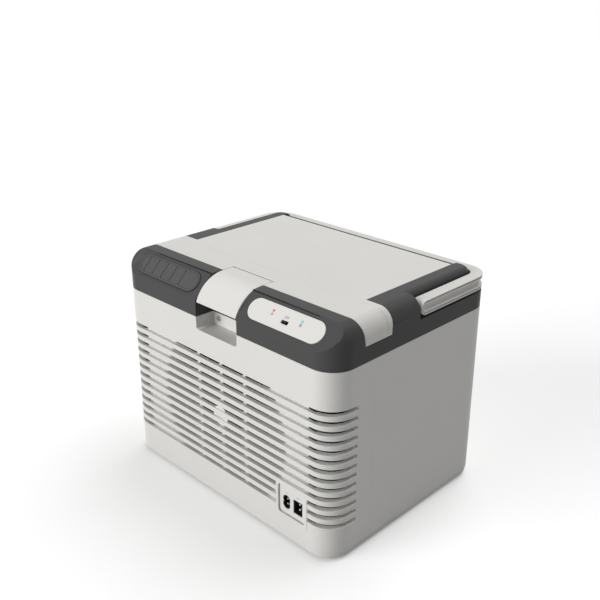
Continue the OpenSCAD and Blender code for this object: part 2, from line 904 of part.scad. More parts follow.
module clamp_screws()
  color("silver")
    for (sx = [-1, 1], sz = [-1, 1])
      translate([sx * clamp_x, 0, vent_z + sz * clamp_x]) {
        rod_y(1.95, sink_y - 6, tub_y0 + 2.5);
        rod_y(3.8, sink_y - 7.5, sink_y - 5);
      }

module fan_frame()
  color("black")
    translate([0, 0, vent_z])
      difference() {
        union() {
          difference() {
            box(-fan_side / 2, fan_side / 2, fan_y, fan_y + fan_t, -fan_side / 2, fan_side / 2);
            rod_y(fan_side / 2 - 3, fan_y - 1, fan_y + fan_t + 1);
          }
          rod_y(19, fan_y, fan_y + 3);
          rod_y(4.2, fan_y + 2, fan_y + fan_t - 4);
          for (a = [45 : 90 : 315])
            rotate([0, a, 0])
              box(15, fan_side / 2 - 1, fan_y, fan_y + 3, -2, 2);
        }
        rod_y(3, fan_y + 3, fan_y + fan_t);
        for (sx = [-1, 1], sz = [-1, 1])
          translate([sx * (fan_side / 2 - 7.5), 0, sz * (fan_side / 2 - 7.5)])
            rod_y(2.2, fan_y - 1, fan_y + fan_t + 1);
      }

module fan_screws()
  color("silver")
    translate([0, 0, vent_z])
      for (sx = [-1, 1], sz = [-1, 1])
        translate([sx * (fan_side / 2 - 7.5), 0, sz * (fan_side / 2 - 7.5)]) {
          rod_y(1.9, fan_y - 1, fan_y + fan_t - 1);
          rod_y(3.6, fan_y - 2.2, fan_y);
        }

module fan_bearing()
  color("goldenrod")
    translate([0, 0, vent_z])
      difference() {
        rod_y(2.98, fan_y + 3, fan_y + fan_t - 4.5);
        rod_y(1.5 + run_gap, fan_y + 2, fan_y + fan_t);
      }

module fan_shaft()
  color("silver")
    translate([0, 0, vent_z])
      rod_y(1.5, fan_y + 3.4, fan_y + fan_t - 1.5);

module fan_rotor()
  color("darkslategray")
    translate([0, 0, vent_z])
      difference() {
        union() {
          difference() {
            rod_y(20, fan_y + 4, fan_y + fan_t - 1);
            rod_y(18, fan_y + 3, fan_y + fan_t - 3);
          }
          for (a = [0 : 360 / 7 : 359])
            rotate([0, a, 0])
              translate([36.5, fan_y + fan_t / 2 + 1, 0])
                rotate([38, 0, 0])
                  cube([36, 1.6, 15], center = true);
        }
        rod_y(1.52, fan_y + 3, fan_y + fan_t - 1.5);
        rod_y(17.9, fan_y + 3, fan_y + fan_t - 3);
      }

// power supply in the bottom of the front space

module power_board()
  color("seagreen")
    difference() {
      box(-80, 60, front_y + 10, front_y + 48, board_z, board_z + 1.6);
      for (x = [-74, 54], y = [front_y + 15, front_y + 43])
        translate([x, y, board_z - 1])
          cylinder(r = 1.7, h = 4);
    }

module board_screws()
  color("silver")
    for (x = [-74, 54], y = [front_y + 15, front_y + 43])
      translate([x, y, board_z]) {
        translate([0, 0, -7])
          cylinder(r = 1.25, h = 9);
        translate([0, 0, 1.6])
          cylinder(r = 2.8, h = 1.8);
      }

module transformer()
  color("orange")
    union() {
      box(-34, -4, front_y + 14, front_y + 44, board_z + 1.6, board_z + 0.2 * power_h);
      box(-30, -8, front_y + 14, front_y + 44, board_z + 0.18 * power_h, board_z + 0.53 * power_h);
      box(-34, -4, front_y + 14, front_y + 44, board_z + 0.44 * power_h, board_z + 0.6 * power_h);
    }

module capacitors()
  color("navy")
    for (p = [[14, 20, 8], [34, 20, 8], [14, 38, 6], [30, 38, 6], [-56, 29, 9]])
      translate([p[0], front_y + p[1], board_z + 1.6])
        cylinder(r = p[2], h = 0.053 * power_h * p[2]);

function unit(v) = v / norm(v);

module wire(p, r) {
  n = len(p);
  k = 8;
  t = [for (i = [0 : n - 1]) unit(p[min(i + 1, n - 1)] - p[max(i - 1, 0)])];
  u = [for (i = [0 : n - 1]) unit(cross(t[i], [0.31, 0.47, 0.83]))];
  pts = [for (i = [0 : n - 1], j = [0 : k - 1])
    p[i] + r * cos(j * 360 / k) * u[i] + r * sin(j * 360 / k) * cross(t[i], u[i])];
  sides = [for (i = [0 : n - 2], j = [0 : k - 1])
    [i * k + j, i * k + (j + 1) % k, (i + 1) * k + (j + 1) % k, (i + 1) * k + j]];
  polyhedron(
    points = pts,
    faces = concat([[for (j = [0 : k - 1]) k - 1 - j]], sides,
      [[for (j = [0 : k - 1]) (n - 1) * k + j]])
  );
}

module wiring()
  color("firebrick") {
    // mains inlet to the board
    wire([[ac_x, front_y + 25.6, ac_z], [ac_x - 12, front_y + 32, ac_z - 6],
      [82, front_y + 34, board_z + 14], [66, front_y + 34, board_z + 3.4],
      [58.8, front_y + 34, board_z + 3.2]], 1.5);
    // low voltage inlet to the board
    wire([[dc_pin_x, front_y + 23.6, dc_z - dc_pin_z], [dc_x - 4, front_y + 30, dc_z - 22],
      [100, front_y + 27, board_z + 4], [70, front_y + 25, board_z + 3.6],
      [58.8, front_y + 25, board_z + 3.2]], 1.5);
    // board to the control board
    wire([[48, front_y + 46, board_z + 3.2], [hot_half_x + 12, front_y + 45, board_z + 20],
      [hot_half_x + 24, front_y + 40, vent_z], [90, front_y + 36, seam_z - 10],
      [92, front_y + 31, facet_z - 3], [94, front_y + 25.5, facet_z + 2.5]], 1.5);
    // board to the thermoelectric module
    wire([[-66, front_y + 46.5, board_z + 3.2], [-70, front_y + 49.8, board_z + 20],
      [-68, front_y + 49.8, vent_z - 34], [-40, front_y + 49.8, vent_z - 14],
      [-tec_half - 0.8, front_y + 49.8, vent_z - tec_half / 2]], 0.7);
    // board to the fan
    wire([[-76, front_y + 30, board_z + 3.2], [-82, front_y + 30, board_z + 22],
      [-78, front_y + 22, vent_z - 52], [-61.6, front_y + 20, vent_z - 44]], 1.4);
  }

// pivots in the frame

module hinge_pins()
  color("silver")
    for (s = [-1, 1])
      translate([0, hinge_y, hinge_z])
        rod_x(hinge_r, s * (lid_w / 2 + 3) - 10, s * (lid_w / 2 + 3) + 10);

module handle_bushes()
  color("black")
    for (s = [-1, 1])
      translate([0, pivot_y, pivot_z])
        difference() {
          union() {
            rod_x(bush_r, s * (rail_x - 7) - 7, s * (rail_x - 7) + 7);
            rod_x(bush_r + 2.5, s * (rail_x + 0.6) - 0.6, s * (rail_x + 0.6) + 0.6);
          }
          rod_x(pin_r + run_gap, s * rail_x - 20, s * rail_x + 20);
        }

// lid

module lid_skin_zone(n) {
  box(-lid_w / 2 + n, lid_w / 2 - n, lid_y0, lid_y1, strap_z, total_h + 1);
  strap_zone(0);
}

module lid_shell()
  intersection() {
    difference() {
      outside(0, seam_z);
      outside(lid_skin, seam_z - 1);
    }
    lid_skin_zone(0);
  }

module lid_skirt()
  difference() {
    box(-lid_w / 2, lid_w / 2, lid_y0 + 1.5, lid_y1, skirt_z, total_h - lid_skin);
    box(-lid_w / 2 + 2.5, lid_w / 2 - 2.5, lid_y0 + 4, lid_y1 - 2.5, skirt_z - 1, total_h);
  }

module lid_screw_spots(y)
  for (s = [-1, 1], yy = y)
    translate([s * (lid_w / 2 - 6.5), yy, 0])
      children();

module lid_top_panel()
  color("white")
    difference() {
      union() {
        intersection() {
          union() {
            lid_shell();
            lid_skirt();
          }
          box(-body_w, body_w, seam_y + 0.15, body_d, 0, total_h + 2);
        }
        for (s = [-1, 1])
          translate([0, hinge_y, hinge_z])
            rod_x(hinge_r + 3.5, s * (lid_w / 2 - 4.2) - 4.2, s * (lid_w / 2 - 4.2) + 4.2);
        lid_screw_spots([-30, 70])
          translate([0, 0, skirt_z])
            cylinder(r = 4.2, h = total_h - lid_skin - skirt_z);
      }
      for (s = [-1, 1])
        translate([0, hinge_y, hinge_z])
          rod_x(hinge_r + run_gap, s * (lid_w / 2 - 4) - 6, s * (lid_w / 2 - 4) + 6);
      lid_screw_spots([-30, 70])
        translate([0, 0, skirt_z - 1])
          cylinder(r = 1.4, h = 12);
    }

module lid_front_trim()
  color("white")
    difference() {
      union() {
        intersection() {
          union() {
            lid_shell();
            lid_skirt();
          }
          box(-body_w, body_w, -body_d, seam_y - 0.15, 0, total_h + 2);
        }
        for (s = [-1, 1])
          box(s * (notch_w / 2 + 4) - 4, s * (notch_w / 2 + 4) + 4, lid_y0 + 1.5, latch_y + 8,
            latch_z - 7.5, total_h - lid_skin);
        lid_screw_spots([seam_y - 20])
          translate([0, 0, skirt_z])
            cylinder(r = 4.2, h = total_h - lid_skin - skirt_z);
      }
      box(-notch_w / 2, notch_w / 2, lid_y0 - 2, latch_y, latch_z - 10, total_h + 2);
      translate([0, latch_y, latch_z])
        rod_x(latch_bar_r + 0.3, -notch_w / 2, notch_w / 2);
      along_x(notch_w)
        translate([latch_y, latch_z])
          rotate(-latch_open)
            translate([-9, 0])
              square([9, latch_bar_r + 0.25]);
      translate([0, latch_y, latch_z])
        rod_x(latch_pin_r + 0.02, -notch_w / 2 - 6, notch_w / 2 + 6);
      lid_screw_spots([seam_y - 20])
        translate([0, 0, skirt_z - 1])
          cylinder(r = 1.4, h = 12);
    }

module lid_tray()
  color("lightgray")
    difference() {
      union() {
        box(-lid_w / 2, lid_w / 2, lid_y0 + 1.5, lid_y1, tray_z, skirt_z);
        translate([0, (plug_y0 + plug_y1) / 2, 0])
          slab(tub_w - 10, plug_y1 - plug_y0, 16, plug_z, tray_z + 1);
      }
      translate([0, (plug_y0 + plug_y1) / 2, 0])
        slab(tub_w - 15, plug_y1 - plug_y0 - 5, 13.5, plug_z + 2.5, skirt_z + 1);
      lid_screw_spots([seam_y - 20, -30, 70]) {
        translate([0, 0, tray_z - 1])
          cylinder(r = 1.8, h = 5);
        translate([0, 0, tray_z - 1])
          cylinder(r = 3.2, h = 2.4);
      }
    }

module lid_foam()
  color("khaki")
    union() {
      translate([0, (plug_y0 + plug_y1) / 2, 0])
        slab(tub_w - 15.8, plug_y1 - plug_y0 - 5.8, 13.1, plug_z + 2.9, skirt_z + 2);
      box(-lid_w / 2 + 14, lid_w / 2 - 14, seam_y - 20, hinge_y - 5, skirt_z + 0.4,
        total_h - lid_skin - 0.4);
    }

module lid_gasket()
  color("gray")
    translate([0, tub_yc, 0])
      difference() {
        slab(tub_w + 13, tub_d + 12.4, 22, rim_z + 0.3, tray_z);
        slab(tub_w + 3, tub_d + 3, 20, rim_z - 1, tray_z + 1);
      }

module lid_screws()
  color("silver")
    lid_screw_spots([seam_y - 20, -30, 70])
      translate([0, 0, tray_z + 0.2]) {
        cylinder(r = 2.8, h = 1.2);
        cylinder(r = 1.35, h = 11);
      }

// latch

module latch_pin()
  color("silver")
    translate([0, latch_y, latch_z])
      rod_x(latch_pin_r, -notch_w / 2 - 5.5, notch_w / 2 + 5.5);

module latch_flap()
  color("white")
    difference() {
      union() {
        along_x(latch_w) {
          intersection() {
            difference() {
              translate([arc_y, arc_z])
                circle(latch_r, $fn = 128);
              translate([arc_y, arc_z])
                circle(latch_r - latch_t, $fn = 128);
            }
            translate([arc_y - 60, lip_z])
              square([60, 60]);
          }
          translate([arc_y - 0.5, latch_top - latch_t])
            square([latch_y - arc_y + 0.5, latch_t]);
          translate([latch_y, latch_z])
            circle(latch_bar_r);
        }
        along_x(20)
          polygon([
            [nose_y - 8, nose_top0],
            [nose_y - 1, nose_top1],
            [nose_y - 1, rim_z + 10],
            [nose_y, rim_z + 9],
            [nose_y, rim_z + 6],
            [nose_y - 4, rim_z + 5],
            [nose_y - 8, rim_z + 12]
          ]);
      }
      translate([0, latch_y, latch_z])
        rod_x(latch_pin_r + run_gap, -latch_w, latch_w);
    }

// handle

module racetrack(r, y1) {
  translate([pivot_y, pivot_z])
    circle(r);
  translate([pivot_y, pivot_z - r])
    square([y1, 2 * r]);
}

module carry_handle()
  color("white")
    difference() {
      intersection() {
        translate([0, 0, bar_low])
          linear_extrude(bar_h)
            difference() {
              rrect(body_w, body_d, corner_r);
              rrect(body_w - 2 * bar_w, body_d - 2 * bar_w, corner_r - bar_w);
              translate([-body_w, -2 * body_d])
                square([2 * body_w, 2 * body_d + house_y]);
            }
        along_x(body_w + 10)
          racetrack(bar_h / 2, body_d);
      }
      intersection() {
        difference() {
          slab(body_w + 4, body_d + 4, corner_r + 2, bar_low - 1, bar_top + 1);
          slab(body_w - 5.2, body_d - 5.2, corner_r - 2.6, bar_low - 2, bar_top + 2);
        }
        along_x(body_w + 10)
          difference() {
            racetrack(bar_h / 2 - 1.5, body_d);
            racetrack(bar_h / 2 - 3.1, body_d);
          }
      }
      intersection() {
        difference() {
          slab(body_w + 4, body_d + 4, corner_r + 2, bar_low - 1, bar_top + 1);
          slab(body_w - 6.4, body_d - 6.4, corner_r - 3.2, bar_low - 2, bar_top + 2);
        }
        along_x(body_w + 10)
          racetrack(bar_h / 2 - 4.9, body_d);
      }
      for (s = [-1, 1])
        translate([0, pivot_y, pivot_z])
          rod_x(pin_r + 0.02, s * (side_x - bar_w + 3.5) - 4.5, s * (side_x - bar_w + 3.5) + 4.5);
    }

module handle_pins()
  color("silver")
    for (s = [-1, 1])
      translate([0, pivot_y, pivot_z])
        rod_x(pin_r, s * (rail_x - 1) - 12.2, s * (rail_x - 1) + 12.2);

front_grille_cover();
body_shell();
base_pan();
rubber_feet();
base_screws();
top_frame();
inner_liner();
foam_jacket();
socket_panel();
ac_inlet();
ac_pins();
dc_inlet();
dc_pins();
control_panel();
control_board();
switch_housing();
hot_indicator();
cold_indicator();
grip_pad();
latch_keeper();
keeper_screws();
recess_screws();
cover_screws();
fan_frame();
fan_screws();
fan_bearing();
heat_sink();
peltier_module();
cold_block();
cold_sink();
cold_cover();
clamp_screws();
divider_panel();
power_board();
transformer();
capacitors();
board_screws();
wiring();
hinge_pins();
handle_bushes();
lid_top_panel();
lid_front_trim();
lid_tray();
lid_foam();
lid_gasket();
lid_screws();
latch_pin();
latch_flap();
carry_handle();
handle_pins();
mode_slider();
fan_rotor();
fan_shaft();
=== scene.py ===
from math import cos, pi, radians, sin

import bmesh
import bpy
from bpy.props import FloatProperty, FloatVectorProperty, IntProperty, PointerProperty
from mathutils import Matrix, Vector


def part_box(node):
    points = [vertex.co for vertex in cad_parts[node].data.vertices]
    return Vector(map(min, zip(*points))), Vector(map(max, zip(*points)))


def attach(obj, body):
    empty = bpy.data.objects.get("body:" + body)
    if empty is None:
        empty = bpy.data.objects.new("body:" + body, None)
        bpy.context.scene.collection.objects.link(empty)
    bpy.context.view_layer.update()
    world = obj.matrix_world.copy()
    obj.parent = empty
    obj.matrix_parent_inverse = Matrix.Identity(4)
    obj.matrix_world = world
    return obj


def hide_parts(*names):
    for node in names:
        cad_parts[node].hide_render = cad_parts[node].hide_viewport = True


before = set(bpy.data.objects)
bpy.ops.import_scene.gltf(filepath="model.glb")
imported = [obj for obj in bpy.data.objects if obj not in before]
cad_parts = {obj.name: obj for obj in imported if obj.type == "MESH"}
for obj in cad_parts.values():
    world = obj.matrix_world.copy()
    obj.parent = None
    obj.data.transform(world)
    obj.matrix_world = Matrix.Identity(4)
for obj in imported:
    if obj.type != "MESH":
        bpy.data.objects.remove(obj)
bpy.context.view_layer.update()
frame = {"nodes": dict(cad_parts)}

bl_info = {
    "name": "Cool and warm box",
    "version": (1, 0, 0),
    "blender": (4, 5, 0),
    "location": "3D View > Sidebar > Cooler",
    "description": "Dresses the packed cool box with moulded edges, finishes, marks and a studio",
    "category": "Object",
}

NODES = frame["nodes"]
FRONT_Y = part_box("front_grille_cover")[0].y
TOP_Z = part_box("lid_top_panel")[1].z
# thickness of the grille, and a height above its top row
GRILLE_WALL = 0.0072
GRILLE_TOP = 0.228
# how far under the top the sloping face starts, and its slope in degrees
SLOPE_DROP = 0.0277
SLOPE = 45
# height of the control plate's face over the slope, and the thickness of ink
PLATE_FACE = 0.00061
INK = 0.00004
# the sloping face at the front: x along it, y up the slope, z out of it
FACET = (Matrix.Translation((0, FRONT_Y, TOP_Z - SLOPE_DROP))
         @ Matrix.Rotation(radians(SLOPE), 4, "X"))
# the upright front: x along it, y up, z out of it
FRONT = Matrix.Translation((0, FRONT_Y, 0)) @ Matrix.Rotation(radians(90), 4, "X")


def length(name, description, default, low=0.0, high=0.5):
    """A size in metres that a user may change."""
    return FloatProperty(name=name, description=description, default=default, min=low, max=high,
                         precision=5, subtype="DISTANCE", unit="LENGTH")


def colour(name, description, default):
    """A finish colour that a user may change."""
    return FloatVectorProperty(name=name, description=description, default=default, size=3,
                               min=0.0, max=1.0, subtype="COLOR")


class CoolerSizes(bpy.types.PropertyGroup):
    """Sizes of the fine forms that are added to the frame."""

    white_edge: length("White edge", "Rounding of the edges of the white mouldings", 0.0006)
    frame_edge: length("Frame edge", "Rounding of the edges of the dark top frame", 0.0005)
    slot_land: length("Slot land", "Level part of an air slot's floor, from the front", 0.0048)
    slot_slope: length("Slot slope", "Drop of the rest of an air slot's floor", 0.0025)
    plate_edge: length("Plate edge", "Rounding of the rim of the control plate", 0.0005)
    grip_length: length("Grip length", "Length of the grip pad", 0.118)
    grip_height: length("Grip height", "Height of the grip pad up the slope", 0.028)
    grip_proud: length("Grip proud", "How far the grip pad stands out of the slope", 0.0014)
    dimple_radius: length("Dimple", "Radius of the dimples in the grip pad", 0.0011)
    dimple_columns: IntProperty(name="Dimple columns", default=5, min=1, max=6,
                                description="Columns of dimples in the grip pad")
    dimple_rows: IntProperty(name="Dimple rows", default=6, min=1, max=7,
                             description="Dimples in each column")
    lens_radius: length("Lens", "Radius of the two indicator lenses", 0.0011)
    mark_height: length("Marks", "Height of the printed marks", 0.0028)
    rib_width: length("Socket rib", "Width of the upright rib beside the sockets", 0.0018)
    rib_height: length("Rib height", "Height of the upright rib beside the sockets", 0.0412)


class CoolerColours(bpy.types.PropertyGroup):
    """Colours of the finishes."""

    white: colour("White plastic", "Warm white of the case, lid and handle", (0.78, 0.772, 0.745))
    frame: colour("Frame plastic", "Dark grey of the top frame", (0.082, 0.082, 0.081))
    grip: colour("Grip rubber", "Dark grey of the grip pad", (0.085, 0.085, 0.085))
    black: colour("Black plastic", "Sockets, switch and fan", (0.012, 0.012, 0.013))
    liner: colour("Liner plastic", "Pale grey of the food compartment", (0.6, 0.61, 0.61))
    divider: colour("Divider", "Dark teal sheet behind the air slots", (0.02, 0.045, 0.05))
    hot: colour("Hot lens", "Red lens", (0.9, 0.13, 0.03))
    cold: colour("Cold lens", "Cyan lens", (0.03, 0.75, 0.75))
    ink: colour("Ink", "Printed marks", (0.2, 0.2, 0.2))
    floor: colour("Floor", "Studio floor", (0.5, 0.5, 0.5))


def sizes():
    """The sizes as they are set now."""
    return bpy.context.scene.cooler_sizes


def colours():
    """The colours as they are set now."""
    return bpy.context.scene.cooler_colours


# finishes

def shader(name, **sockets):
    """A material with its surface shader, its node tree and the object's own coordinates."""
    material = bpy.data.materials.new(name)
    material.use_nodes = True
    tree = material.node_tree
    surface = tree.nodes["Principled BSDF"]
    for socket, value in sockets.items():
        surface.inputs[socket.replace("_", " ")].default_value = value
    where = tree.nodes.new("ShaderNodeTexCoord").outputs["Object"]
    return material, tree, surface, where


def stretched(tree, where, scale, turn=(0, 0, 0)):
    """Coordinates that are turned and drawn out along an axis."""
    mapping = tree.nodes.new("ShaderNodeMapping")
    mapping.inputs["Scale"].default_value = scale
    mapping.inputs["Rotation"].default_value = turn
    tree.links.new(where, mapping.inputs["Vector"])
    return mapping.outputs["Vector"]


def noise(tree, where, size, detail=2.0):
    """Soft cloudy values with features of about that size in metres."""
    node = tree.nodes.new("ShaderNodeTexNoise")
    node.inputs["Scale"].default_value = 1 / size
    node.inputs["Detail"].default_value = detail
    tree.links.new(where, node.inputs["Vector"])
    return node.outputs["Fac"]


def ranged(tree, value, low, high):
    """The value's middle part spread from low to high."""
    node = tree.nodes.new("ShaderNodeMapRange")
    node.inputs["From Min"].default_value = 0.3
    node.inputs["From Max"].default_value = 0.7
    node.inputs["To Min"].default_value = low
    node.inputs["To Max"].default_value = high
    tree.links.new(value, node.inputs["Value"])
    return node.outputs["Result"]


def ramp(tree, value, *stops):
    """Colours along a value, each stop a place and a colour."""
    node = tree.nodes.new("ShaderNodeValToRGB")
    points = node.color_ramp.elements
    while len(points) < len(stops):
        points.new(0.5)
    for point, (place, rgb) in zip(points, stops):
        point.position = place
        point.color = (*rgb, 1)
    tree.links.new(value, node.inputs["Fac"])
    return node.outputs["Color"]


def summed(tree, a, b, share):
    """One value over another: share of the second in the first."""
    node = tree.nodes.new("ShaderNodeMix")
    node.inputs["Factor"].default_value = share
    tree.links.new(a, node.inputs["A"])
    tree.links.new(b, node.inputs["B"])
    return node.outputs["Result"]


def bump(tree, surface, height, depth, strength=1.0, under=None):
    """Relief of that depth in metres on the surface."""
    node = tree.nodes.new("ShaderNodeBump")
    node.inputs["Distance"].default_value = depth
    node.inputs["Strength"].default_value = strength
    tree.links.new(height, node.inputs["Height"])
    if under:
        tree.links.new(under, node.inputs["Normal"])
    tree.links.new(node.outputs["Normal"], surface.inputs["Normal"])
    return node.outputs["Normal"]


def shade(rgb, by):
    """The colour made darker or lighter."""
    return tuple(min(1.0, c * by) for c in rgb)


def moulded_plastic(name, rgb, rough, grain, depth, mottle, gloss):
    """Moulded plastic with a fine spark-eroded grain and a faint mottle."""
    material, tree, surface, where = shader(name, Specular_IOR_Level=gloss)
    fine = noise(tree, where, grain, 3)
    broad = noise(tree, where, 0.07, 2)
    tone = summed(tree, broad, fine, 0.45)
    tree.links.new(ramp(tree, tone, (0.3, shade(rgb, 1 - mottle)), (0.7, shade(rgb, 1 + mottle))),
                   surface.inputs["Base Color"])
    tree.links.new(ranged(tree, fine, rough - 0.05, rough + 0.05), surface.inputs["Roughness"])
    bump(tree, surface, fine, depth, 0.6)
    return material


def soft_rubber(name, rgb, grain=0.0009):
    """Dull rubber with a pebbled skin."""
    material, tree, surface, where = shader(name, Specular_IOR_Level=0.25)
    fine = noise(tree, where, grain, 4)
    broad = noise(tree, where, 0.02, 2)
    tree.links.new(ramp(tree, summed(tree, broad, fine, 0.5), (0.3, shade(rgb, 0.88)),
                        (0.7, shade(rgb, 1.1))), surface.inputs["Base Color"])
    tree.links.new(ranged(tree, fine, 0.62, 0.8), surface.inputs["Roughness"])
    bump(tree, surface, fine, 0.00008, 0.7)
    return material


def ribbed_rubber(name, rgb, pitch=0.00185):
    """Grip rubber with fine ribs along the pad."""
    material, tree, surface, where = shader(name, Specular_IOR_Level=0.25)
    slope = stretched(tree, where, (1, 1, 1), (radians(-SLOPE), 0, 0))
    wave = tree.nodes.new("ShaderNodeTexWave")
    wave.wave_type = "BANDS"
    wave.bands_direction = "Y"
    # at a scale of one, the wave turns by 20 radians in a metre
    wave.inputs["Scale"].default_value = 2 * pi / 20 / pitch
    wave.inputs["Distortion"].default_value = 0.0
    tree.links.new(slope, wave.inputs["Vector"])
    fine = noise(tree, where, 0.0007, 3)
    tree.links.new(ramp(tree, fine, (0.3, shade(rgb, 0.92)), (0.7, shade(rgb, 1.08))),
                   surface.inputs["Base Color"])
    tree.links.new(ranged(tree, fine, 0.6, 0.75), surface.inputs["Roughness"])
    grain = bump(tree, surface, fine, 0.00005, 0.6)
    bump(tree, surface, wave.outputs["Fac"], 0.00012, 0.8, grain)
    return material


def brushed_metal(name, rgb, rough=0.32, along=(60, 60, 2500)):
    """Drawn or milled metal with fine lines."""
    material, tree, surface, where = shader(name, Metallic=1.0)
    lines = noise(tree, stretched(tree, where, along), 1.0, 3)
    tree.links.new(ramp(tree, lines, (0.3, shade(rgb, 0.82)), (0.7, shade(rgb, 1.08))),
                   surface.inputs["Base Color"])
    tree.links.new(ranged(tree, lines, rough - 0.08, rough + 0.1), surface.inputs["Roughness"])
    bump(tree, surface, lines, 0.00002, 0.5)
    return material


def lit_lens(name, rgb, strength):
    """Tinted lens with a lamp behind it."""
    material, tree, surface, where = shader(name, Roughness=0.18, Emission_Strength=strength,
                                            Coat_Weight=0.5)
    cloud = noise(tree, where, 0.0012, 2)
    glow = ramp(tree, cloud, (0.3, shade(rgb, 0.85)), (0.7, shade(rgb, 1.15)))
    tree.links.new(glow, surface.inputs["Base Color"])
    tree.links.new(glow, surface.inputs["Emission Color"])
    return material


def closed_cell_foam(name, rgb):
    """Pale foam with small closed cells."""
    material, tree, surface, where = shader(name, Specular_IOR_Level=0.2)
    cells = tree.nodes.new("ShaderNodeTexVoronoi")
    cells.inputs["Scale"].default_value = 450
    tree.links.new(where, cells.inputs["Vector"])
    tree.links.new(ramp(tree, cells.outputs["Distance"], (0.0, shade(rgb, 1.05)),
                        (0.8, shade(rgb, 0.8))), surface.inputs["Base Color"])
    tree.links.new(ranged(tree, cells.outputs["Distance"], 0.8, 0.95), surface.inputs["Roughness"])
    bump(tree, surface, cells.outputs["Distance"], 0.0003, 0.5)
    return material


def printed_board(name):
    """Green circuit board with copper tracks under the lacquer."""
    material, tree, surface, where = shader(name, Specular_IOR_Level=0.5, Coat_Weight=0.3)
    bricks = tree.nodes.new("ShaderNodeTexBrick")
    bricks.inputs["Scale"].default_value = 90
    bricks.inputs["Mortar Size"].default_value = 0.035
    bricks.inputs["Color1"].default_value = (0.012, 0.11, 0.045, 1)
    bricks.inputs["Color2"].default_value = (0.014, 0.13, 0.05, 1)
    bricks.inputs["Mortar"].default_value = (0.03, 0.2, 0.07, 1)
    tree.links.new(where, bricks.inputs["Vector"])
    tree.links.new(bricks.outputs["Color"], surface.inputs["Base Color"])
    tree.links.new(ranged(tree, noise(tree, where, 0.004), 0.3, 0.45), surface.inputs["Roughness"])
    bump(tree, surface, bricks.outputs["Fac"], 0.00005, 0.5)
    return material


# plastics: name, colour, roughness, size and depth of the grain, mottle, gloss
PLASTICS = {
    "white": ("white_plastic_finish", "white", 0.58, 0.0006, 0.00004, 0.015, 0.2),
    "frame": ("dark_frame_finish", "frame", 0.38, 0.0007, 0.00005, 0.04, 0.05),
    "black": ("black_plastic_finish", "black", 0.42, 0.0006, 0.00003, 0.1, 0.3),
    "liner": ("liner_finish", "liner", 0.4, 0.0012, 0.00003, 0.012, 0.4),
    "divider": ("divider_finish", "divider", 0.6, 0.0015, 0.00005, 0.08, 0.2),
    "ink": ("ink_finish", "ink", 0.6, 0.0005, 0.00001, 0.1, 0.2),
    "ceramic": ("ceramic_finish", (0.8, 0.8, 0.78), 0.7, 0.0004, 0.00002, 0.015, 0.35),
    "tape": ("winding_tape_finish", (0.7, 0.45, 0.05), 0.35, 0.002, 0.00005, 0.08, 0.35),
    "wire": ("wire_jacket_finish", (0.32, 0.02, 0.02), 0.45, 0.001, 0.00003, 0.1, 0.35),
    # pins: pale tin plating drawn as a bright non-metal; the pale colour is partly the tin and
    # partly a painted glint, where real metal would mirror the dark socket
    "tin": ("tinned_pin_finish", (0.8, 0.8, 0.78), 0.3, 0.0004, 0.00001, 0.05, 0.8),
}

FINISHES = {
    "grip": lambda c: ribbed_rubber("grip_finish", c.grip),
    "foot": lambda c: soft_rubber("foot_rubber_finish", (0.035, 0.035, 0.035)),
    "seal": lambda c: soft_rubber("seal_finish", (0.16, 0.16, 0.165), 0.0006),
    "steel": lambda c: brushed_metal("plated_steel_finish", (0.62, 0.62, 0.64), 0.3),
    "alloy": lambda c: brushed_metal("alloy_finish", (0.74, 0.75, 0.77), 0.4, (60, 2500, 60)),
    "zinc": lambda c: brushed_metal("dull_zinc_finish", (0.5, 0.5, 0.5), 0.6),
    "brass": lambda c: brushed_metal("brass_finish", (0.75, 0.55, 0.26), 0.3),
    "foam": lambda c: closed_cell_foam("foam_finish", (0.8, 0.77, 0.66)),
    "board": lambda c: printed_board("circuit_board_finish"),
    "hot": lambda c: lit_lens("hot_lens_finish", c.hot, 0.5),
    "cold": lambda c: lit_lens("cold_lens_finish", c.cold, 0.5),
}

MADE = {}


def finish(key):
    """The finish of that name, made at its first use."""
    if key not in MADE:
        if key in PLASTICS:
            name, rgb, *values = PLASTICS[key]
            rgb = getattr(colours(), rgb) if isinstance(rgb, str) else rgb
            MADE[key] = moulded_plastic(name, rgb, *values)
        else:
            MADE[key] = FINISHES[key](colours())
    return MADE[key]


# shaping

def finished(shape, name, body, look, stands_for=(), sharp=35, even=True):
    """Makes the shape a piece that rides on a body."""
    mesh = bpy.data.meshes.new(name)
    shape.to_mesh(mesh)
    shape.free()
    if not mesh.polygons:
        raise RuntimeError(f"{name} has no faces")
    for face in mesh.polygons:
        face.use_smooth = True
    mesh.set_sharp_from_angle(angle=radians(sharp))
    mesh.materials.append(finish(look))
    piece = bpy.data.objects.new(name, mesh)
    bpy.context.scene.collection.objects.link(piece)
    if even:
        normals = piece.modifiers.new("even_normals", "WEIGHTED_NORMAL")
        normals.keep_sharp = True
    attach(piece, body)
    if stands_for:
        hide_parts(*stands_for)
    return piece


def round_edges(shape, edges, by, segments=2):
    """Rounds these edges of the shape."""
    bmesh.ops.bevel(shape, geom=edges, offset=by, offset_type="OFFSET", segments=segments,
                    profile=0.5, affect="EDGES", clamp_overlap=False, material=-1)


def strip_width(face):
    """About how wide a long face is."""
    return face.calc_area() / max(e.calc_length() for e in face.edges)


